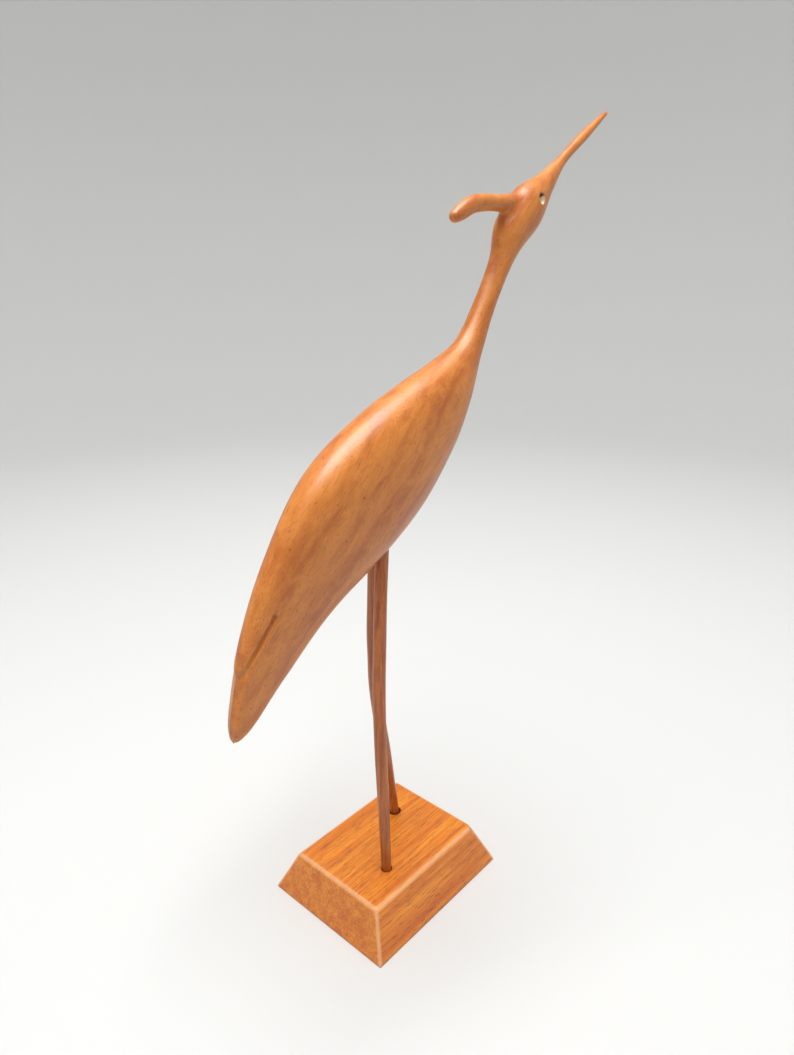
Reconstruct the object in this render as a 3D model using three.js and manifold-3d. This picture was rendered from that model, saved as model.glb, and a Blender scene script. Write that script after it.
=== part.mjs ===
import Module from 'manifold-3d';
import * as THREE from 'three';
import { ConvexGeometry } from 'three/addons/geometries/ConvexGeometry.js';
import { RoundedBoxGeometry } from 'three/addons/geometries/RoundedBoxGeometry.js';
import { mergeVertices } from 'three/addons/utils/BufferGeometryUtils.js';

// A carved wooden crane striding on a bevelled block.
// Millimetres, +Z up, +X the way the bird faces, +Y its left side.
// The origin is the centre of the block's underside.

// The block: a board with all four sides planed to a slope
const baseLength = 78;
const baseWidth = 63.5;
const baseHeight = 19;
const baseTopLength = 64.5;
const baseTopWidth = 47;
const baseEdgeRadius = 1.5;
const baseEdgeSteps = 2;

// The bird, carved from one plank and even about the plane y = 0.
// A section stands square to the middle line at x, z. Depth is measured across the plank's face and
// width through its thickness. A fullness of 2 is an ellipse, and more is squarer.
const birdSections = [
  { at: 'tail tip', x: -76.3, z: 110.7, depth: 5, width: 4.5, fullness: 2.2 },
  { at: 'tail', x: -71.2, z: 119.3, depth: 12.2, width: 7.5, fullness: 2.3 },
  { at: 'wing tips', x: -61, z: 136, depth: 24, width: 11.5, fullness: 2.4 },
  { at: 'rump', x: -44.5, z: 157, depth: 36, width: 17, fullness: 2.4 },
  { at: 'belly', x: -22, z: 177, depth: 48, width: 24, fullness: 2.4 },
  { at: 'back', x: 3, z: 192.5, depth: 47, width: 26, fullness: 2.3 },
  { at: 'breast', x: 25.5, z: 208, depth: 35.5, width: 23, fullness: 2.2 },
  { at: 'shoulders', x: 38.5, z: 219, depth: 23.5, width: 18.5, fullness: 2.1 },
  { at: 'neck root', x: 49.5, z: 230.5, depth: 12.5, width: 12, fullness: 2 },
  { at: 'neck', x: 60, z: 247, depth: 9, width: 9, fullness: 2 },
  { at: 'nape', x: 70, z: 263, depth: 10, width: 9.5, fullness: 2 },
  { at: 'back of the head', x: 76.5, z: 274.5, depth: 17, width: 13.5, fullness: 2 },
  { at: 'cheeks', x: 86.5, z: 283.5, depth: 18.5, width: 14.5, fullness: 2 },
  { at: 'brow', x: 99, z: 293, depth: 10, width: 9, fullness: 2 },
  { at: 'bill root', x: 112, z: 303, depth: 4.5, width: 4.5, fullness: 2 },
  { at: 'bill', x: 130, z: 314.5, depth: 4.2, width: 4.2, fullness: 2 },
  { at: 'bill tip', x: 148.5, z: 325.5, depth: 1.6, width: 1.8, fullness: 2 },
];
const birdForm = { sides: 28, bodyRings: 76, capRings: 4, startCap: 7, endCap: 1.6 };

// The crest sweeps back from the crown like a thick comma, and its root is buried in the head
const crestSections = [
  { at: 'tip', x: 37, z: 278, depth: 3.5, width: 3.5 },
  { at: 'behind the tip', x: 42.5, z: 280.5, depth: 6, width: 5.5 },
  { at: 'bend', x: 49.5, z: 283.5, depth: 6.5, width: 6 },
  { at: 'middle', x: 57, z: 284.5, depth: 6.5, width: 6 },
  { at: 'crown', x: 65, z: 284.7, depth: 6.3, width: 6 },
  { at: 'root', x: 81, z: 284.7, depth: 8.5, width: 8 },
];
const crestForm = { sides: 16, bodyRings: 14, capRings: 3, startCap: 2.2, endCap: 1 };

// The eyes are round dimples, one on each cheek
const eyeX = 88.5;
const eyeZ = 287;
const eyeY = 6.9;
const eyeRadius = 2.3;
const eyeSides = 20;
const eyeRings = 12;

// The folded wings end proud of the tail. Behind their edges the tail's back is planed to a ridge:
// the ridge stands this share of the half depth above the middle line, and falls to each side with
// this slope, which gets steeper up the slit between wing and tail.
const ridgeShare = 0.96;
const ridgeSlope = 0.25;
const ridgeSlopeGrowth = 0.0095;
const wingTipDistance = 22;
// The plane passes just clear of the wood it leaves alone
const planeClearance = 0.05;

// A wing's lower edge runs from the flank to the wing's tip on the back, and its wall goes in to the
// middle plane. These points are on the left, and the right wing is their mirror.
const wingEdgeStart = new THREE.Vector3(-60.2, 6, 154.4);
const wingTip = new THREE.Vector3(-73.2, 0, 136.1);
const wingWallRoot = new THREE.Vector3(-61, 0, 155);
const tailRegionEnds = [new THREE.Vector3(-84, 0, 104), new THREE.Vector3(-50, 0, 120)];
const tailRegionReach = 2;

// The legs are round rods a little bent at the knee, in a stride about the block's centre
const rightLegSections = [
  { at: 'end in the block', x: -13.2, y: -11.8, z: 8.5, depth: 4.2, width: 4.2 },
  { at: 'foot', x: -13, y: -11.3, z: 19, depth: 4.2, width: 4.2 },
  { at: 'shin', x: -12.8, y: -9.5, z: 57, depth: 4.9, width: 4.9 },
  { at: 'knee', x: -12.5, y: -7.8, z: 92, depth: 5.2, width: 5.2 },
  { at: 'thigh', x: -10, y: -6.1, z: 129, depth: 5.2, width: 5.2 },
  { at: 'hip', x: -7, y: -4.7, z: 157, depth: 5.2, width: 5.2 },
  { at: 'end in the belly', x: -5.5, y: -4, z: 171, depth: 5.2, width: 5.2 },
];
const leftLegSections = [
  { at: 'end in the block', x: 17.9, y: 10.6, z: 8.5, depth: 4.2, width: 4.2 },
  { at: 'foot', x: 15.8, y: 10.1, z: 19, depth: 4.2, width: 4.2 },
  { at: 'shin', x: 8.2, y: 8.3, z: 56, depth: 4.9, width: 4.9 },
  { at: 'knee', x: 0.8, y: 6.8, z: 91, depth: 5.2, width: 5.2 },
  { at: 'thigh', x: -1.6, y: 5.6, z: 116, depth: 5.2, width: 5.2 },
  { at: 'hip', x: -2, y: 4.4, z: 143, depth: 5.2, width: 5.2 },
  { at: 'end in the belly', x: -2.2, y: 3.2, z: 170, depth: 5.2, width: 5.2 },
];
const legForm = { sides: 12, bodyRings: 20, capRings: 1, startCap: 0, endCap: 0 };

// Room round a leg in its holes: a close fit, but the left foot's hole was bored too wide
const closeFit = 0.3;
const looseFit = 0.9;

// The lacquered wood's colours, and how much it scatters light
const birdColour = 0xb5703a;
const birdRoughness = 0.38;
const legColour = 0x8f4f24;
const legRoughness = 0.45;
const baseColour = 0xc9782f;
const baseRoughness = 0.42;

// Vertices closer than this are one vertex
const weldDistance = 0.0001;

const kernel = await Module();
kernel.setup();

// A closed geometry as a solid
function solidOf(geometry) {
  const bare = geometry.clone();
  bare.deleteAttribute('normal');
  bare.deleteAttribute('uv');
  const welded = mergeVertices(bare, weldDistance);
  return new kernel.Manifold(new kernel.Mesh({
    numProp: 3,
    vertProperties: Float32Array.from(welded.attributes.position.array),
    triVerts: Uint32Array.from(welded.index.array),
  }));
}

// A solid as a geometry to draw
function geometryOf(solid) {
  const mesh = solid.getMesh();
  const geometry = new THREE.BufferGeometry();
  geometry.setAttribute('position', new THREE.BufferAttribute(mesh.vertProperties, 3));
  geometry.setIndex(new THREE.BufferAttribute(mesh.triVerts, 1));
  geometry.computeVertexNormals();
  return geometry;
}

// Rings along a bar: how far along the middle line each one is, and its share of the full section.
// A cap of some length is a quarter of an ellipse, and a cap of no length is a flat end.
function ringPlaces(length, { bodyRings, capRings, startCap, endCap }) {
  const places = [];
  for (let ring = 0; ring < capRings; ring += 1) {
    const turn = (Math.PI / 2) * (ring / capRings);
    places.push({ distance: startCap * (1 - Math.cos(turn)), share: Math.sin(turn) });
  }
  for (let ring = 0; ring <= bodyRings; ring += 1) {
    const distance = THREE.MathUtils.lerp(startCap, length - endCap, ring / bodyRings);
    places.push({ distance, share: 1 });
  }
  for (let ring = capRings - 1; ring >= 0; ring -= 1) {
    const turn = (Math.PI / 2) * (ring / capRings);
    places.push({ distance: length - endCap * (1 - Math.cos(turn)), share: Math.sin(turn) });
  }
  return places;
}

// One coordinate of a rounded section, from -1 to 1
function rounded(value, fullness) {
  return Math.sign(value) * Math.abs(value) ** (2 / fullness);
}

// How much a point of the section is drawn in where the back is planed to a ridge
function planedShare(deep, wide, distance) {
  const slope = ridgeSlope + ridgeSlopeGrowth * Math.max(0, distance - wingTipDistance);
  return Math.min(1, ridgeShare / Math.max(ridgeShare, deep + slope * Math.abs(wide)));
}

// The middle of a bar at one place along its line, and the two directions across it
function crossFrame(line, along) {
  const leftward = new THREE.Vector3(0, 1, 0);
  const forward = line.getTangent(along);
  const backward = new THREE.Vector3().crossVectors(forward, leftward).normalize();
  const sideward = new THREE.Vector3().crossVectors(forward, backward);
  return { centre: line.getPoint(along), backward, sideward };
}

// A closed bar carved along a middle line: a sphere's rows become its sections and its poles its ends.
// The bar stops `shortBy` before each end of the line, and its sections grow by `growth` all round.
function carvedBar(sections, form, { shortBy = 0, growth = 0, planed = false } = {}) {
  const line = new THREE.CatmullRomCurve3(
    sections.map(({ x, y = 0, z }) => new THREE.Vector3(x, y, z)),
  );
  const sizes = new THREE.CatmullRomCurve3(
    sections.map(({ depth, width, fullness = 2 }) => new THREE.Vector3(depth, width, fullness)),
    false,
    'catmullrom',
  );
  const length = line.getLength();
  const places = ringPlaces(length - 2 * shortBy, form);
  const bar = new THREE.SphereGeometry(1, form.sides, places.length - 1);
  const vertices = bar.attributes.position;
  places.forEach(({ distance, share }, row) => {
    const along = line.getUtoTmapping((distance + shortBy) / length);
    const { centre, backward, sideward } = crossFrame(line, along);
    const size = sizes.getPoint(along);
    for (let column = 0; column <= form.sides; column += 1) {
      const turn = 2 * Math.PI * ((column % form.sides) / form.sides);
      const deep = rounded(-Math.cos(turn), size.z);
      const wide = rounded(Math.sin(turn), size.z);
      const kept = share * (planed ? planedShare(deep, wide, distance) : 1);
      const place = centre.clone()
        .addScaledVector(backward, kept * deep * (size.x / 2 + growth))
        .addScaledVector(sideward, kept * wide * (size.y / 2 + growth));
      vertices.setXYZ(row * (form.sides + 1) + column, place.x, place.y, place.z);
    }
  });
  return solidOf(bar);
}

// The space on one side behind the wing's edge, out to well beyond the tail
function behindWing(side) {
  const outward = wingEdgeStart.clone().sub(wingWallRoot).multiplyScalar(tailRegionReach);
  const inner = [wingWallRoot, wingTip, ...tailRegionEnds];
  const outer = inner.map((point) => point.clone().add(outward));
  const corners = [...inner, ...outer].map((point) => point.clone().setY(side * point.y));
  return solidOf(new ConvexGeometry(corners));
}

// The ball that leaves an eye's dimple
function eyeDimple(side) {
  const dimple = new THREE.SphereGeometry(eyeRadius, eyeSides, eyeRings);
  dimple.translate(eyeX, side * eyeY, eyeZ);
  return solidOf(dimple);
}

// The hole for a leg, with some room all round
function legHole(sections, room) {
  return carvedBar(sections, legForm, { growth: room });
}

// A leg stops a little short of the bottom of each of its holes
function leg(sections) {
  return carvedBar(sections, legForm, { shortBy: closeFit });
}

// The wood planed off the tail below both wings
function tailShavings() {
  const planedBody = carvedBar(birdSections, birdForm, { growth: planeClearance, planed: true });
  return behindWing(-1).add(behindWing(1)).subtract(planedBody);
}

function bird() {
  let carving = carvedBar(birdSections, birdForm)
    .add(carvedBar(crestSections, crestForm))
    .subtract(tailShavings());
  for (const side of [-1, 1]) {
    carving = carving.subtract(eyeDimple(side));
  }
  for (const sections of [rightLegSections, leftLegSections]) {
    carving = carving.subtract(legHole(sections, closeFit));
  }
  return carving;
}

// A rounded box drawn in towards its top and sawn off flat at the bottom
function base() {
  const fullHeight = baseHeight + 2 * baseEdgeRadius;
  const block = new RoundedBoxGeometry(baseLength, baseWidth, fullHeight, baseEdgeSteps, baseEdgeRadius);
  block.translate(0, 0, baseHeight - fullHeight / 2);
  const aboveGround = new THREE.BoxGeometry(2 * baseLength, 2 * baseWidth, 2 * baseHeight);
  aboveGround.translate(0, 0, baseHeight);
  const vertices = block.attributes.position;
  for (let i = 0; i < vertices.count; i += 1) {
    const height = vertices.getZ(i) / baseHeight;
    const x = vertices.getX(i) * THREE.MathUtils.lerp(1, baseTopLength / baseLength, height);
    const y = vertices.getY(i) * THREE.MathUtils.lerp(1, baseTopWidth / baseWidth, height);
    vertices.setXY(i, x, y);
  }
  return solidOf(block)
    .intersect(solidOf(aboveGround))
    .subtract(legHole(rightLegSections, closeFit))
    .subtract(legHole(leftLegSections, looseFit));
}

function birdWood() {
  return new THREE.MeshStandardMaterial({ color: birdColour, roughness: birdRoughness });
}

function legWood() {
  return new THREE.MeshStandardMaterial({ color: legColour, roughness: legRoughness });
}

function baseWood() {
  return new THREE.MeshStandardMaterial({ color: baseColour, roughness: baseRoughness });
}

function piece(name, solid, material) {
  const mesh = new THREE.Mesh(geometryOf(solid), material);
  mesh.name = name;
  return mesh;
}

const sculpture = new THREE.Group();
sculpture.add(
  piece('bird', bird(), birdWood()),
  piece('right_leg', leg(rightLegSections), legWood()),
  piece('left_leg', leg(leftLegSections), legWood()),
  piece('base', base(), baseWood()),
);

export default sculpture;
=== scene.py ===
import math

import bmesh
import bpy
import numpy as np
from mathutils import Matrix, Vector
from mathutils.kdtree import KDTree


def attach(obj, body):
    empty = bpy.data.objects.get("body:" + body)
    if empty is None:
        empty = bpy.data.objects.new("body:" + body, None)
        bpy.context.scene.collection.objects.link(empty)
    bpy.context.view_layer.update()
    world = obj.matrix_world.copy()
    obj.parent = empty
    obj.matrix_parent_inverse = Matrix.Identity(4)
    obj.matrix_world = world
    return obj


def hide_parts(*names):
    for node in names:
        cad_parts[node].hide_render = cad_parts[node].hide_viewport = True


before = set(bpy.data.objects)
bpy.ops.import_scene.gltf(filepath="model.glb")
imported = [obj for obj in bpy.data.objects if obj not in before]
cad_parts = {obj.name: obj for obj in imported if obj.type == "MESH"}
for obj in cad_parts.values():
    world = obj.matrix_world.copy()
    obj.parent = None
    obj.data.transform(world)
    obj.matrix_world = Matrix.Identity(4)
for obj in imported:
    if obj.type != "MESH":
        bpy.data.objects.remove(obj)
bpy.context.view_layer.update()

# A carved wooden crane striding on a bevelled block.
# Sizes are in millimetres until a mesh is made, +Z up, +X the way the bird faces.
MM = 0.001

# The block
BASE_LENGTH = 78.0
BASE_WIDTH = 63.5
BASE_HEIGHT = 19.0
BASE_TOP_LENGTH = 64.5
BASE_TOP_WIDTH = 47.0
BASE_TOP_ROUNDING = 1.9
BASE_BOTTOM_ROUNDING = 0.6
BASE_GRID = 1.2
BASE_ROUNDING_STEPS = 6
# One top corner was sanded right off
SANDED_CORNER = (1, -1)
SANDED_DEPTH = 2.2

# Sections of the bird along its middle line: x, z, depth, width, fullness
BIRD_SECTIONS = [
    (-76.3, 110.7, 5.0, 4.5, 2.2),
    (-71.2, 119.3, 12.2, 7.5, 2.3),
    (-61.0, 136.0, 24.0, 11.5, 2.4),
    (-44.5, 157.0, 36.0, 17.0, 2.4),
    (-22.0, 177.0, 48.0, 24.0, 2.4),
    (3.0, 192.5, 47.0, 26.0, 2.3),
    (25.5, 208.0, 35.5, 23.0, 2.2),
    (38.5, 219.0, 23.5, 18.5, 2.1),
    (49.5, 230.5, 12.5, 12.0, 2.0),
    (60.0, 247.0, 9.0, 9.0, 2.0),
    (70.0, 263.0, 10.0, 9.5, 2.0),
    (76.5, 274.5, 17.0, 13.5, 2.0),
    (86.5, 283.5, 18.5, 14.5, 2.0),
    (99.0, 293.0, 10.0, 9.0, 2.0),
    (112.0, 303.0, 4.5, 4.5, 2.0),
    (130.0, 314.5, 4.2, 4.2, 2.0),
    (148.5, 325.5, 1.6, 1.8, 2.0),
]
BIRD_SIDES = 176
BIRD_CAPS = (7.0, 1.6)
# Distance along the bird, and the spacing of the rings there
BIRD_SPACING = [(0, 0.42), (55, 0.42), (70, 1.1), (235, 1.1), (245, 0.4), (268, 0.4), (280, 1.0), (400, 1.0)]

CREST_SECTIONS = [
    (37.0, 278.0, 3.5, 3.5, 2.0),
    (42.5, 280.5, 6.0, 5.5, 2.0),
    (49.5, 283.5, 6.5, 6.0, 2.0),
    (57.0, 284.5, 6.5, 6.0, 2.0),
    (65.0, 284.7, 6.3, 6.0, 2.0),
    (81.0, 284.7, 8.5, 8.0, 2.0),
]
CREST_SIDES = 56
CREST_CAPS = (2.2, 1.0)
CREST_SPACING = [(0, 0.5), (60, 0.5)]

EYE = (88.5, 287.0)
EYE_CENTRE_Y = 6.9
EYE_RADIUS = 2.3

# The wings' lower edges, in side view: from the stop cut on the flank down to the tip on the back
WING_EDGE_START = (-60.2, 154.4)
WING_TIP = (-73.2, 136.1)
RIDGE_SHARE = 0.96
RIDGE_SLOPE = 0.25
RIDGE_SLOPE_GROWTH = 0.0095
WING_TIP_DISTANCE = 22.0
WING_WALL = 0.5

# Sections of the legs: x, y, z, thickness
RIGHT_LEG_SECTIONS = [
    (-13.2, -11.8, 8.5, 4.2),
    (-13.0, -11.3, 19.0, 4.2),
    (-12.8, -9.5, 57.0, 4.9),
    (-12.5, -7.8, 92.0, 5.2),
    (-10.0, -6.1, 129.0, 5.2),
    (-7.0, -4.7, 157.0, 5.2),
    (-5.5, -4.0, 171.0, 5.2),
]
LEFT_LEG_SECTIONS = [
    (17.9, 10.6, 8.5, 4.2),
    (15.8, 10.1, 19.0, 4.2),
    (8.2, 8.3, 56.0, 4.9),
    (0.8, 6.8, 91.0, 5.2),
    (-1.6, 5.6, 116.0, 5.2),
    (-2.0, 4.4, 143.0, 5.2),
    (-2.2, 3.2, 170.0, 5.2),
]
LEG_SIDES = 40
LEG_SPACING = [(0, 0.8), (200, 0.8)]
CLOSE_FIT = 0.3
LOOSE_FIT = 0.9

# The photograph's view
CAMERA_PLACE = (-200.9, -186.4, 267.1)
CAMERA_HEADING = 41.89
CAMERA_DROP = 19.94
CAMERA_ROLL = -0.15
CAMERA_LENS = 26.0


# Curves and bars


def spline(points, places, centripetal):
    """Points of a Catmull-Rom curve at places from 0, its start, to 1, its end."""
    points = np.asarray(points, float)
    before = 2 * points[0] - points[1]
    after = 2 * points[-1] - points[-2]
    full = np.vstack([before, points, after])
    position = np.clip(places, 0, 1) * (len(points) - 1)
    piece = np.minimum(position.astype(int), len(points) - 2)
    share = (position - piece)[:, None]
    a, b, c, d = (full[piece + step] for step in range(4))
    if centripetal:
        gaps = [np.linalg.norm(q - p, axis=1)[:, None] ** 0.5 for p, q in ((a, b), (b, c), (c, d))]
    else:
        gaps = [np.ones_like(share)] * 3
    slope_b = ((b - a) / gaps[0] - (c - a) / (gaps[0] + gaps[1]) + (c - b) / gaps[1]) * gaps[1]
    slope_c = ((c - b) / gaps[1] - (d - b) / (gaps[1] + gaps[2]) + (d - c) / gaps[2]) * gaps[1]
    square = share**2
    cube = share**3
    return (
        b * (2 * cube - 3 * square + 1)
        + slope_b * (cube - 2 * square + share)
        + c * (3 * square - 2 * cube)
        + slope_c * (cube - square)
    )


def softened(values, steps):
    """A running mean along the first axis, with the ends held."""
    padded = np.concatenate([np.repeat(values[:1], steps, 0), values, np.repeat(values[-1:], steps, 0)])
    total = np.cumsum(np.concatenate([padded[:1] * 0, padded]), axis=0)
    window = 2 * steps + 1
    return (total[window:] - total[:-window]) / window


def ring_distances(length, spacing, caps, cap_rows):
    """How far along each ring is, and its share of the full section: rounded caps with rings between."""
    turns = np.linspace(0, math.pi / 2, cap_rows, endpoint=False)
    start = caps[0] * (1 - np.cos(turns))
    end = length - caps[1] * (1 - np.cos(turns))
    reach = [caps[0]]
    while reach[-1] < length - caps[1]:
        reach.append(reach[-1] + np.interp(reach[-1], *zip(*spacing)))
    body = np.interp(np.linspace(0, 1, len(reach)), np.linspace(0, 1, len(reach)), reach)
    body = caps[0] + (body - caps[0]) * (length - caps[1] - caps[0]) / (body[-1] - caps[0])
    distance = np.concatenate([start, body, end[::-1]])
    share = np.concatenate([np.sin(turns), np.ones(len(body)), np.sin(turns)[::-1]])
    return distance, share


class Bar:
    """A closed bar along a line: rings of points, with one point at each end."""

    def __init__(self, sections, sides, spacing, caps, cap_rows=14, short_by=0.0, growth=0.0):
        sections = np.array(sections, float)
        line = sections[:, :3]
        sizes = sections[:, 3:]
        fine = np.linspace(0, 1, 4001)
        points = spline(line, fine, True)
        steps = np.linalg.norm(np.diff(points, axis=0), axis=1)
        along = np.concatenate([[0], np.cumsum(steps)])
        length = along[-1]
        grown = spline(sizes, fine, False)
        even = np.linspace(0, length, 4001)
        points = np.stack([np.interp(even, along, points[:, k]) for k in range(3)], 1)
        grown = np.stack([np.interp(even, along, grown[:, k]) for k in range(3)], 1)
        smoothing = int(1.2 / length * 4000)
        if smoothing:
            keep = points[[0, -1]].copy()
            points = softened(softened(points, smoothing), smoothing)
            points[0], points[-1] = keep
            grown = softened(softened(grown, smoothing), smoothing)
        tangent = np.gradient(points, axis=0)
        tangent /= np.linalg.norm(tangent, axis=1)[:, None]
        distance, share = ring_distances(length - 2 * short_by, spacing, caps, cap_rows)
        place = distance + short_by
        pick = lambda table: np.stack([np.interp(place, even, table[:, k]) for k in range(3)], 1)
        self.distance = distance
        self.share = share
        self.centre = pick(points)
        forward = pick(tangent)
        self.backward = np.cross(forward, [0, 1, 0])
        self.backward /= np.linalg.norm(self.backward, axis=1)[:, None]
        self.sideward = np.cross(forward, self.backward)
        self.size = pick(grown)
        self.sides = sides
        turn = 2 * math.pi * np.arange(sides) / sides
        full = self.size[:, 2][:, None]
        self.deep = self.rounded(-np.cos(turn), full)
        self.wide = self.rounded(np.sin(turn), full)
        self.turn = turn
        self.growth = growth

    @staticmethod
    def rounded(value, fullness):
        value = value[None, :]
        return np.sign(value) * np.abs(value) ** (2 / fullness)

    def points(self, kept=1.0):
        """All ring points, one row of the table for each ring."""
        scale = self.share[:, None] * kept
        deep = scale * self.deep * (self.size[:, 0][:, None] / 2 + self.growth)
        wide = scale * self.wide * (self.size[:, 1][:, None] / 2 + self.growth)
        return (
            self.centre[:, None, :]
            + deep[:, :, None] * self.backward[:, None, :]
            + wide[:, :, None] * self.sideward[:, None, :]
        )


def ring_mesh(name, points):
    """A closed mesh of rings. The first and last ring are single points."""
    rings, sides = points.shape[:2]
    inner = points[1:-1].reshape(-1, 3)
    vertices = np.vstack([points[0, :1], inner, points[-1, :1]]) * MM
    last = len(vertices) - 1
    column = np.arange(sides)
    after = (column + 1) % sides
    faces = []
    for ring in range(rings - 3):
        low = 1 + ring * sides
        high = low + sides
        faces.extend(np.stack([low + column, low + after, high + after, high + column], 1).tolist())
    end = 1 + (rings - 3) * sides
    faces.extend([0, 1 + b, 1 + a] for a, b in zip(column.tolist(), after.tolist()))
    faces.extend([last, end + a, end + b] for a, b in zip(column.tolist(), after.tolist()))
    mesh = bpy.data.meshes.new(name)
    mesh.from_pydata(vertices.tolist(), [], faces)
    face_out(mesh)
    made = bpy.data.objects.new(name, mesh)
    bpy.context.scene.collection.objects.link(made)
    return made


def face_out(mesh):
    work = bmesh.new()
    work.from_mesh(mesh)
    bmesh.ops.recalc_face_normals(work, faces=work.faces)
    work.to_mesh(mesh)
    work.free()


def smooth_shaded(made):
    made.data.polygons.foreach_set("use_smooth", np.ones(len(made.data.polygons), bool))
    made.data.update()
    return made


def boolean(made, other, operation):
    """Joins other to made, or cuts it away, and removes other."""
    modifier = made.modifiers.new("cut", "BOOLEAN")
    modifier.operation = operation
    modifier.solver = "MANIFOLD"
    modifier.object = other
    graph = bpy.context.evaluated_depsgraph_get()
    mesh = bpy.data.meshes.new_from_object(made.evaluated_get(graph))
    made.modifiers.clear()
    made.data = mesh
    bpy.data.objects.remove(other)
    return made


def vertex_places(made):
    table = np.empty(len(made.data.vertices) * 3)
    made.data.vertices.foreach_get("co", table)
    return table.reshape(-1, 3)


def set_vertex_places(made, table):
    made.data.vertices.foreach_set("co", table.astype(np.float32).ravel())
    made.data.update()


def step(value, low, high):
    """0 below low, 1 above high, and a smooth rise between."""
    share = np.clip((value - low) / (high - low), 0, 1)
    return share * share * (3 - 2 * share)


def bump(value, centre, width):
    return np.exp(-(((value - centre) / width) ** 2))


# The bird


def wing_coordinates(x, z):
    """In side view: how far a point lies behind the wing's edge, and how far down along it."""
    start = np.array(WING_EDGE_START)
    down = np.array(WING_TIP) - start
    down /= np.linalg.norm(down)
    behind = (x - start[0]) * -down[1] + (z - start[1]) * down[0]
    along = (x - start[0]) * down[0] + (z - start[1]) * down[1]
    return behind, along


def planed(bar):
    """How much each point is drawn in where the tail's back is planed to a ridge."""
    growth = np.maximum(0, bar.distance - WING_TIP_DISTANCE)[:, None]
    slope = RIDGE_SLOPE + RIDGE_SLOPE_GROWTH * growth
    return np.minimum(1, RIDGE_SHARE / np.maximum(RIDGE_SHARE, bar.deep + slope * np.abs(bar.wide)))


def surface_normals(points):
    """Outward directions of a table of ring points."""
    along = np.gradient(points, axis=0)
    around = np.roll(points, -1, axis=1) - np.roll(points, 1, axis=1)
    out = np.cross(along, around)
    return out / np.maximum(np.linalg.norm(out, axis=2), 1e-9)[:, :, None]


def bird_body():
    sections = [(x, 0, z, depth, width, fullness) for x, z, depth, width, fullness in BIRD_SECTIONS]
    bar = Bar(sections, BIRD_SIDES, BIRD_SPACING, BIRD_CAPS)
    whole = bar.points()
    behind, along = wing_coordinates(whole[:, :, 0], whole[:, :, 2])
    back = bar.deep > 0
    cut = step(behind, 0, WING_WALL) * step(along, -1.0, 0.4) * back
    points = bar.points(1 - cut * (1 - planed(bar)))
    normals = surface_normals(points)
    groove = 0.75 * bump(behind, 0.45, 0.42) * step(along, -1.0, 1.0) * (1 - 0.75 * step(along, 14, 21))
    groove += 0.3 * bump(behind, 0.1, 0.3) * step(along, -7.5, -0.5) * (1 - step(along, -0.5, 1.0))
    stop = np.hypot(behind - 0.2, along)
    groove += 0.6 * bump(stop, 0, 0.6)
    points -= normals * (groove * back * step(np.abs(whole[:, :, 1]), 0.3, 1.2))[:, :, None]
    reach = np.hypot(points[:, :, 0] - EYE[0], points[:, :, 2] - EYE[1])
    depth = EYE_CENTRE_Y - np.sqrt(np.maximum(EYE_RADIUS**2 - reach**2, 0))
    inside = (reach < EYE_RADIUS) & (np.abs(points[:, :, 1]) > depth)
    points[:, :, 1] = np.where(inside, np.sign(points[:, :, 1]) * depth, points[:, :, 1])
    return ring_mesh("bird_carved", points)


def crest():
    sections = [(x, 0, z, depth, width, fullness) for x, z, depth, width, fullness in CREST_SECTIONS]
    bar = Bar(sections, CREST_SIDES, CREST_SPACING, CREST_CAPS)
    return ring_mesh("crest", bar.points())


def blend_joint(made, known, reach, rounds):
    """Smooths the mesh round the line where two forms meet, so that they run into each other."""
    places = vertex_places(made)
    tree = KDTree(len(known))
    for index, place in enumerate(known):
        tree.insert(place, index)
    tree.balance()
    window = (places[:, 0] > 60 * MM) & (places[:, 0] < 85 * MM) & (places[:, 2] > 265 * MM)
    joint = [i for i in np.nonzero(window)[0] if tree.find(places[i])[2] > 1e-6]
    line = KDTree(len(joint))
    for index, i in enumerate(joint):
        line.insert(places[i], index)
    line.balance()
    near = np.zeros(len(places))
    for i in np.nonzero(window)[0]:
        near[i] = line.find(places[i])[2]
    weight = np.where(window, 1 - step(near, 0.3 * reach, reach), 0) * 0.5
    edges = np.empty(len(made.data.edges) * 2, int)
    made.data.edges.foreach_get("vertices", edges)
    edges = edges.reshape(-1, 2)
    edges = edges[(weight[edges] > 0).any(axis=1)]
    count = np.zeros(len(places))
    np.add.at(count, edges[:, 0], 1)
    np.add.at(count, edges[:, 1], 1)
    moving = (count > 0) & (weight > 0)
    for _ in range(rounds):
        total = np.zeros_like(places)
        np.add.at(total, edges[:, 0], places[edges[:, 1]])
        np.add.at(total, edges[:, 1], places[edges[:, 0]])
        mean = total[moving] / count[moving][:, None]
        places[moving] += weight[moving][:, None] * (mean - places[moving])
    set_vertex_places(made, places)


def point_shades(made, **shades):
    """Stores a number for each vertex under each name, for the materials to read."""
    for name, values in shades.items():
        attribute = made.data.attributes.new(name, "FLOAT", "POINT")
        attribute.data.foreach_set("value", np.clip(values, 0, 1).astype(np.float32))


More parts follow.
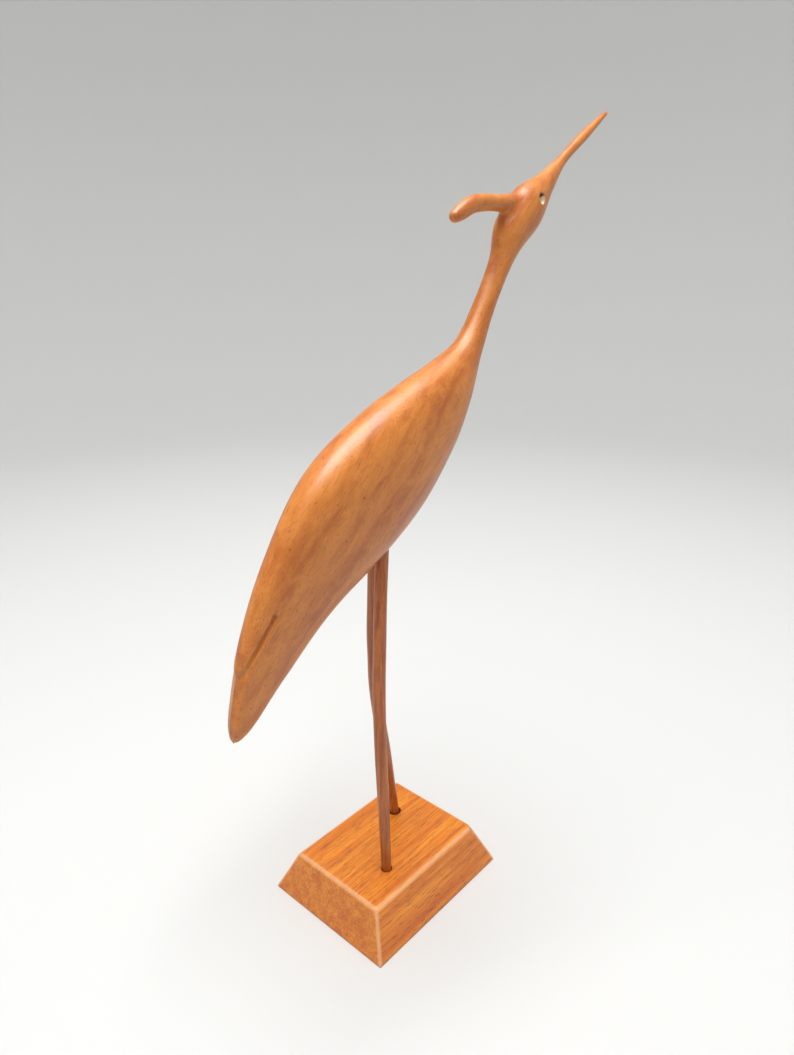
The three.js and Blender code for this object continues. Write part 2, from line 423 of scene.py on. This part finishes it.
def bird():
    body = bird_body()
    comb = crest()
    known = np.vstack([vertex_places(body), vertex_places(comb)])
    boolean(body, comb, "UNION")
    blend_joint(body, known, 4.5 * MM, 60)
    for hole in (leg_hole(RIGHT_LEG_SECTIONS, CLOSE_FIT), leg_hole(LEFT_LEG_SECTIONS, CLOSE_FIT)):
        boolean(body, hole, "DIFFERENCE")
    x, y, z = vertex_places(body).T / MM
    behind, along = wing_coordinates(x, z)
    # Painted light in the eye's hollow: a painted highlight on its lower wall and painted shade on its upper wall.
    pale = 0.0 * x
    stain = 0.0 * x
    reach = np.hypot(x - EYE[0], z - EYE[1])
    inside = (reach < EYE_RADIUS - 0.1) & (np.abs(y) < 6.45) & (np.abs(y) > 3)
    low = step((z - EYE[1]) * -0.8 + (x - EYE[0]) * 0.6, -0.2, 0.5)
    pale = np.maximum(pale, inside * low)
    stain = np.maximum(stain, inside * (1 - low))
    point_shades(body, pale=pale, stain=stain)
    return body


# Legs and base


def leg_sections(sections):
    return [(x, y, z, size, size, 2.0) for x, y, z, size in sections]


def leg_hole(sections, room):
    bar = Bar(leg_sections(sections), LEG_SIDES, [(0, 2), (200, 2)], (0.0, 0.0), 1, growth=room)
    return ring_mesh("hole", flat_ended(bar.points()))


def flat_ended(points):
    """Closes a bar of full rings with a point in the middle of each flat end."""
    first = np.repeat(points[1:2].mean(axis=1, keepdims=True), points.shape[1], axis=1)
    last = np.repeat(points[-2:-1].mean(axis=1, keepdims=True), points.shape[1], axis=1)
    return np.concatenate([first, points[1:-1], last])


def leg(name, sections, seed):
    bar = Bar(leg_sections(sections), LEG_SIDES, LEG_SPACING, (0.0, 0.0), 1, short_by=CLOSE_FIT)
    random = np.random.default_rng(seed)
    wobble = np.zeros((len(bar.distance), LEG_SIDES))
    for wave in range(1, 5):
        phase = random.uniform(0, 2 * math.pi, 3)
        length = random.uniform(18, 60)
        sway = np.sin(2 * math.pi * bar.distance / length + phase[0])
        wobble += 0.03 * sway[:, None] * np.cos(wave * bar.turn + phase[1])[None, :]
    points = bar.points(1 + wobble * 0.35)
    return ring_mesh(name, flat_ended(points))


def grid_line(half, rounding):
    """Places along one side of a box: even in the middle, closer over its rounded edges."""
    flat = half - rounding
    count = max(2, int(round(2 * flat / BASE_GRID)))
    middle = np.linspace(-flat, flat, count + 1)
    turns = np.linspace(0, math.pi / 4, BASE_ROUNDING_STEPS + 1)[1:]
    edge = flat + rounding * np.tan(turns)
    return np.concatenate([-edge[::-1], middle, edge])


def box_surface(halves, rounding):
    """Grid points and faces over a box, as one closed surface."""
    lines = [grid_line(half, rounding) for half in halves]
    work = bmesh.new()
    for axis in range(3):
        first, second = [k for k in range(3) if k != axis]
        for side in (-1, 1):
            rows = []
            for a in lines[first]:
                row = []
                for b in lines[second]:
                    place = [0.0, 0.0, 0.0]
                    place[axis] = side * halves[axis]
                    place[first] = a
                    place[second] = b
                    row.append(work.verts.new(place))
                rows.append(row)
            for low, high in zip(rows, rows[1:]):
                for a, b, c, d in zip(low, low[1:], high[1:], high):
                    work.faces.new((a, b, c, d))
    bmesh.ops.remove_doubles(work, verts=work.verts, dist=1e-5)
    bmesh.ops.recalc_face_normals(work, faces=work.faces)
    return work


def base():
    halves = np.array([BASE_LENGTH, BASE_WIDTH, BASE_HEIGHT]) / 2
    work = box_surface(halves, BASE_TOP_ROUNDING)
    for vertex in work.verts:
        place = np.array(vertex.co)
        height = (place[2] + halves[2]) / BASE_HEIGHT
        inner = np.clip(place, -(halves - BASE_TOP_ROUNDING), halves - BASE_TOP_ROUNDING)
        away = place - inner
        rounded = inner + BASE_TOP_ROUNDING * away / max(np.linalg.norm(away), 1e-9)
        low = 1 - step(height, 0.0, 0.75)
        share = 1 - BASE_BOTTOM_ROUNDING / BASE_TOP_ROUNDING
        place = rounded + (place - rounded) * share * low
        height = (place[2] + halves[2]) / BASE_HEIGHT
        place[0] *= 1 + (BASE_TOP_LENGTH / BASE_LENGTH - 1) * height
        place[1] *= 1 + (BASE_TOP_WIDTH / BASE_WIDTH - 1) * height
        place[2] += halves[2]
        vertex.co = place * MM
    mesh = bpy.data.meshes.new("base_block")
    work.to_mesh(mesh)
    work.free()
    block = bpy.data.objects.new("base_block", mesh)
    bpy.context.scene.collection.objects.link(block)
    sand_corner(block)
    boolean(block, leg_hole(RIGHT_LEG_SECTIONS, CLOSE_FIT), "DIFFERENCE")
    boolean(block, leg_hole(LEFT_LEG_SECTIONS, LOOSE_FIT), "DIFFERENCE")
    x, y, z = vertex_places(block).T / MM
    # A light band along the block's edges: partly edge wear, partly painted highlight.
    point_shades(block, pale=edge_wear_and_highlight(x, y, z), stain=0.0 * x)
    return block


def sand_corner(block):
    """Rounds one top corner off."""
    places = vertex_places(block) / MM
    corner = np.array([SANDED_CORNER[0] * BASE_TOP_LENGTH / 2, SANDED_CORNER[1] * BASE_TOP_WIDTH / 2, BASE_HEIGHT])
    out = np.array([SANDED_CORNER[0], SANDED_CORNER[1], 1.0])
    out /= np.linalg.norm(out)
    proud = (places - corner) @ out + SANDED_DEPTH
    proud = np.maximum(proud, 0)
    places -= out * (proud**2 / (proud + 0.6))[:, None]
    set_vertex_places(block, places * MM)


def edge_wear_and_highlight(x, y, z):
    """How near each point is to the block's top and upright edges, where the lacquer is thin and a highlight is
    painted.
    """
    height = np.clip(z / BASE_HEIGHT, 0, 1)
    half_x = (BASE_LENGTH + (BASE_TOP_LENGTH - BASE_LENGTH) * height) / 2
    half_y = (BASE_WIDTH + (BASE_TOP_WIDTH - BASE_WIDTH) * height) / 2
    gaps = np.sort(np.stack([half_x - np.abs(x), half_y - np.abs(y), BASE_HEIGHT - z]), axis=0)
    return (1 - step(gaps[1], 0.5, 1.7)) * step(gaps[0], -1, 0.0)


# Materials


def add_node(tree, kind, inputs=None, **settings):
    """Adds a shader node. An input's value is a number, a colour or another node's output."""
    made = tree.nodes.new(kind)
    for key, value in settings.items():
        setattr(made, key, value)
    for key, value in (inputs or {}).items():
        if isinstance(value, bpy.types.NodeSocket):
            tree.links.new(value, made.inputs[key])
        else:
            made.inputs[key].default_value = value
    return made


class Paint:
    """Short names for the nodes that the wood materials are made of."""

    def __init__(self, name):
        self.material = bpy.data.materials.new(name)
        self.material.use_nodes = True
        self.tree = self.material.node_tree
        self.tree.nodes.clear()
        self.place = add_node(self.tree, "ShaderNodeTexCoord").outputs["Object"]

    def turned(self, angle):
        """Object coordinates turned in side view, so that their X runs along the grain."""
        mapping = add_node(
            self.tree,
            "ShaderNodeMapping",
            {"Vector": self.place, "Rotation": (0, angle, 0)},
            vector_type="POINT",
        )
        return mapping.outputs[0]

    def noise(self, place, long, wide, detail=2.0, roughness=0.5, distortion=0.0, offset=0.0):
        """Noise with features about this long and this wide, in millimetres."""
        mapping = add_node(
            self.tree,
            "ShaderNodeMapping",
            {
                "Vector": place,
                "Location": (offset, 0.7 * offset, 0.4 * offset),
                "Scale": (1 / (long * MM), 1 / (wide * MM), 1 / (wide * MM)),
            },
        )
        made = add_node(
            self.tree,
            "ShaderNodeTexNoise",
            {
                "Vector": mapping.outputs[0],
                "Scale": 1.0,
                "Detail": detail,
                "Roughness": roughness,
                "Distortion": distortion,
            },
        )
        return made.outputs["Fac"]

    def window(self, value, low, high, out_low=0.0, out_high=1.0):
        made = add_node(
            self.tree,
            "ShaderNodeMapRange",
            {"Value": value, "From Min": low, "From Max": high, "To Min": out_low, "To Max": out_high},
            interpolation_type="SMOOTHSTEP",
        )
        return made.outputs[0]

    def math(self, operation, first, second):
        made = add_node(self.tree, "ShaderNodeMath", {0: first, 1: second}, operation=operation)
        return made.outputs[0]

    def mix(self, share, first, second, blend="MIX"):
        made = add_node(
            self.tree,
            "ShaderNodeMix",
            {0: share, 6: first, 7: second},
            data_type="RGBA",
            blend_type=blend,
        )
        return made.outputs[2]

    def shade(self, name):
        """A number stored on the mesh's points."""
        return add_node(self.tree, "ShaderNodeAttribute", attribute_name=name).outputs["Fac"]

    def finish(self, colour, roughness, height, bump_depth, coat, coat_roughness, specular=0.5):
        raised = add_node(
            self.tree,
            "ShaderNodeBump",
            {"Height": height, "Strength": 1.0, "Distance": bump_depth * MM},
        )
        shader = add_node(
            self.tree,
            "ShaderNodeBsdfPrincipled",
            {
                "Base Color": colour,
                "Roughness": roughness,
                "Normal": raised.outputs[0],
                "Coat Weight": coat,
                "Coat Roughness": coat_roughness,
                "Specular IOR Level": specular,
            },
        )
        output = add_node(self.tree, "ShaderNodeOutputMaterial")
        self.tree.links.new(shader.outputs[0], output.inputs["Surface"])
        return self.material


def colour(red, green, blue):
    """A colour given as it looks on a screen, from 0 to 255, as the shader's linear values."""
    linear = [((c / 255 + 0.055) / 1.055) ** 2.4 if c > 10 else c / 255 / 12.92 for c in (red, green, blue)]
    return (*linear, 1.0)


def bird_wood():
    paint = Paint("bird_wood")
    grain = paint.turned(math.radians(43.7))
    figure = paint.noise(grain, 60, 7, 3, 0.55, 0.6)
    mottle = paint.noise(grain, 9, 4, 3, 0.6, 0.4, 3.1)
    fibres = paint.noise(grain, 6, 0.35, 2, 0.6, 0.0, 1.7)
    pores = paint.noise(grain, 2.6, 0.42, 2, 0.6, 0.0, 5.3)
    specks = paint.noise(grain, 1.6, 1.1, 1, 0.5, 0.0, 8.9)
    tone = paint.mix(paint.window(figure, 0.3, 0.7), colour(176, 92, 30), colour(208, 126, 50))
    tone = paint.mix(paint.window(mottle, 0.35, 0.75, 0.0, 0.55), tone, colour(222, 142, 62))
    tone = paint.mix(paint.window(fibres, 0.35, 0.8, 0.0, 0.35), tone, colour(150, 74, 22))
    tone = paint.mix(paint.window(pores, 0.62, 0.72, 0.0, 0.55), tone, colour(92, 44, 16))
    tone = paint.mix(paint.window(specks, 0.7, 0.78, 0.0, 0.5), tone, colour(70, 36, 18))
    # Painted highlight on the eye's lower wall, then painted shade on its upper wall.
    tone = paint.mix(paint.shade("pale"), tone, colour(238, 214, 172))
    tone = paint.mix(paint.shade("stain"), tone, colour(34, 20, 12))
    rough = paint.window(mottle, 0.2, 0.8, 0.3, 0.44)
    height = paint.math("ADD", fibres, paint.window(pores, 0.6, 0.75, 0.0, -1.0))
    return paint.finish(tone, rough, height, 0.05, 0.25, 0.22)


def leg_wood():
    paint = Paint("leg_wood")
    upright = paint.turned(math.radians(90))
    figure = paint.noise(upright, 45, 1.6, 3, 0.6, 0.3)
    fibres = paint.noise(upright, 7, 0.3, 2, 0.6, 0.0, 2.2)
    specks = paint.noise(upright, 1.8, 0.5, 2, 0.6, 0.0, 6.1)
    tone = paint.mix(paint.window(figure, 0.3, 0.7), colour(150, 72, 22), colour(196, 112, 46))
    tone = paint.mix(paint.window(fibres, 0.4, 0.8, 0.0, 0.4), tone, colour(112, 52, 18))
    tone = paint.mix(paint.window(specks, 0.63, 0.72, 0.0, 0.6), tone, colour(74, 34, 14))
    rough = paint.window(figure, 0.2, 0.8, 0.36, 0.5)
    return paint.finish(tone, rough, fibres, 0.06, 0.2, 0.25)


def base_wood():
    paint = Paint("base_wood")
    figure = paint.noise(paint.place, 70, 3.5, 3, 0.6, 0.3)
    bands = paint.noise(paint.place, 40, 0.9, 3, 0.6, 0.15, 4.0)
    pores = paint.noise(paint.place, 5.5, 0.32, 2, 0.55, 0.0, 2.5)
    dirt = paint.noise(paint.place, 5, 5, 3, 0.65, 0.3, 9.0)
    tone = paint.mix(paint.window(figure, 0.3, 0.7), colour(206, 106, 14), colour(232, 142, 34))
    tone = paint.mix(paint.window(bands, 0.4, 0.7, 0.0, 0.5), tone, colour(178, 84, 10))
    tone = paint.mix(paint.window(pores, 0.57, 0.68, 0.0, 0.75), tone, colour(122, 56, 10))
    tone = paint.mix(paint.window(dirt, 0.72, 0.8, 0.0, 0.6), tone, colour(84, 46, 26))
    # Light band along the edges: partly edge wear, partly painted highlight.
    tone = paint.mix(paint.math("MULTIPLY", paint.shade("pale"), 0.5), tone, colour(242, 196, 150))
    rough = paint.window(bands, 0.2, 0.8, 0.32, 0.46)
    height = paint.window(pores, 0.55, 0.7, 1.0, 0.0)
    return paint.finish(tone, rough, height, 0.06, 0.25, 0.2)


# Stage, lights and camera


def stage():
    """A light grey floor that curves up into a wall all round."""
    floor_radius = 0.9
    bend = 0.6
    wall_top = 2.2
    profile = [(0.001, 0.0), (0.3, 0.0), (floor_radius, 0.0)]
    for turn in np.linspace(0, math.pi / 2, 13)[1:]:
        profile.append((floor_radius + bend * math.sin(turn), bend * (1 - math.cos(turn))))
    profile.append((floor_radius + bend, wall_top))
    sides = 96
    turns = 2 * math.pi * np.arange(sides) / sides
    vertices = [(r * math.cos(t), r * math.sin(t), z) for r, z in profile for t in turns]
    faces = []
    for ring in range(len(profile) - 1):
        for side in range(sides):
            after = (side + 1) % sides
            low = ring * sides
            faces.append((low + side, low + sides + side, low + sides + after, low + after))
    faces.append(tuple(reversed(range(sides))))
    mesh = bpy.data.meshes.new("floor")
    mesh.from_pydata(vertices, [], faces)
    floor = bpy.data.objects.new("floor", mesh)
    bpy.context.scene.collection.objects.link(floor)
    smooth_shaded(floor)
    material = bpy.data.materials.new("floor")
    material.use_nodes = True
    shader = material.node_tree.nodes["Principled BSDF"]
    shader.inputs["Base Color"].default_value = (0.62, 0.62, 0.61, 1)
    shader.inputs["Roughness"].default_value = 0.8
    mesh.materials.append(material)


def soft_light(name, place, size, power, target=(0, 0, 0.18)):
    lamp = bpy.data.lights.new(name, "AREA")
    lamp.shape = "DISK"
    lamp.size = size
    lamp.energy = power
    made = bpy.data.objects.new(name, lamp)
    made.location = place
    made.rotation_euler = (Vector(target) - Vector(place)).to_track_quat("-Z", "Y").to_euler()
    bpy.context.scene.collection.objects.link(made)
    return made


def lights():
    soft_light("overhead_light", (-0.05, 0.0, 1.1), 0.8, 14)
    world = bpy.data.worlds.new("studio")
    world.use_nodes = True
    background = world.node_tree.nodes["Background"]
    background.inputs["Color"].default_value = (1, 1, 1, 1)
    background.inputs["Strength"].default_value = 0.9
    bpy.context.scene.world = world


def camera():
    heading = math.radians(CAMERA_HEADING)
    drop = math.radians(CAMERA_DROP)
    forward = Vector((math.cos(drop) * math.cos(heading), math.cos(drop) * math.sin(heading), -math.sin(drop)))
    right = forward.cross(Vector((0, 0, 1))).normalized()
    up = right.cross(forward)
    roll = math.radians(CAMERA_ROLL)
    rolled_right = math.cos(roll) * right + math.sin(roll) * up
    rolled_up = math.cos(roll) * up - math.sin(roll) * right
    turn = Matrix((rolled_right, rolled_up, -forward)).transposed().to_4x4()
    lens = bpy.data.cameras.new("camera")
    lens.lens = CAMERA_LENS
    lens.clip_start = 0.01
    made = bpy.data.objects.new("camera", lens)
    made.matrix_world = Matrix.Translation(Vector(CAMERA_PLACE) * MM) @ turn
    bpy.context.scene.collection.objects.link(made)
    bpy.context.scene.camera = made


def dress(made, node, material):
    """A finished piece: it rides on the body, stands for its node and wears its material."""
    made.data.materials.clear()
    made.data.materials.append(material)
    smooth_shaded(made)
    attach(made, "root")
    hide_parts(node)


camera()
stage()
lights()
leg_material = leg_wood()
dress(bird(), "bird", bird_wood())
dress(leg("right_leg_rod", RIGHT_LEG_SECTIONS, 3), "right_leg", leg_material)
dress(leg("left_leg_rod", LEFT_LEG_SECTIONS, 5), "left_leg", leg_material)
dress(base(), "base", base_wood())
bpy.context.scene.view_settings.view_transform = "Standard"
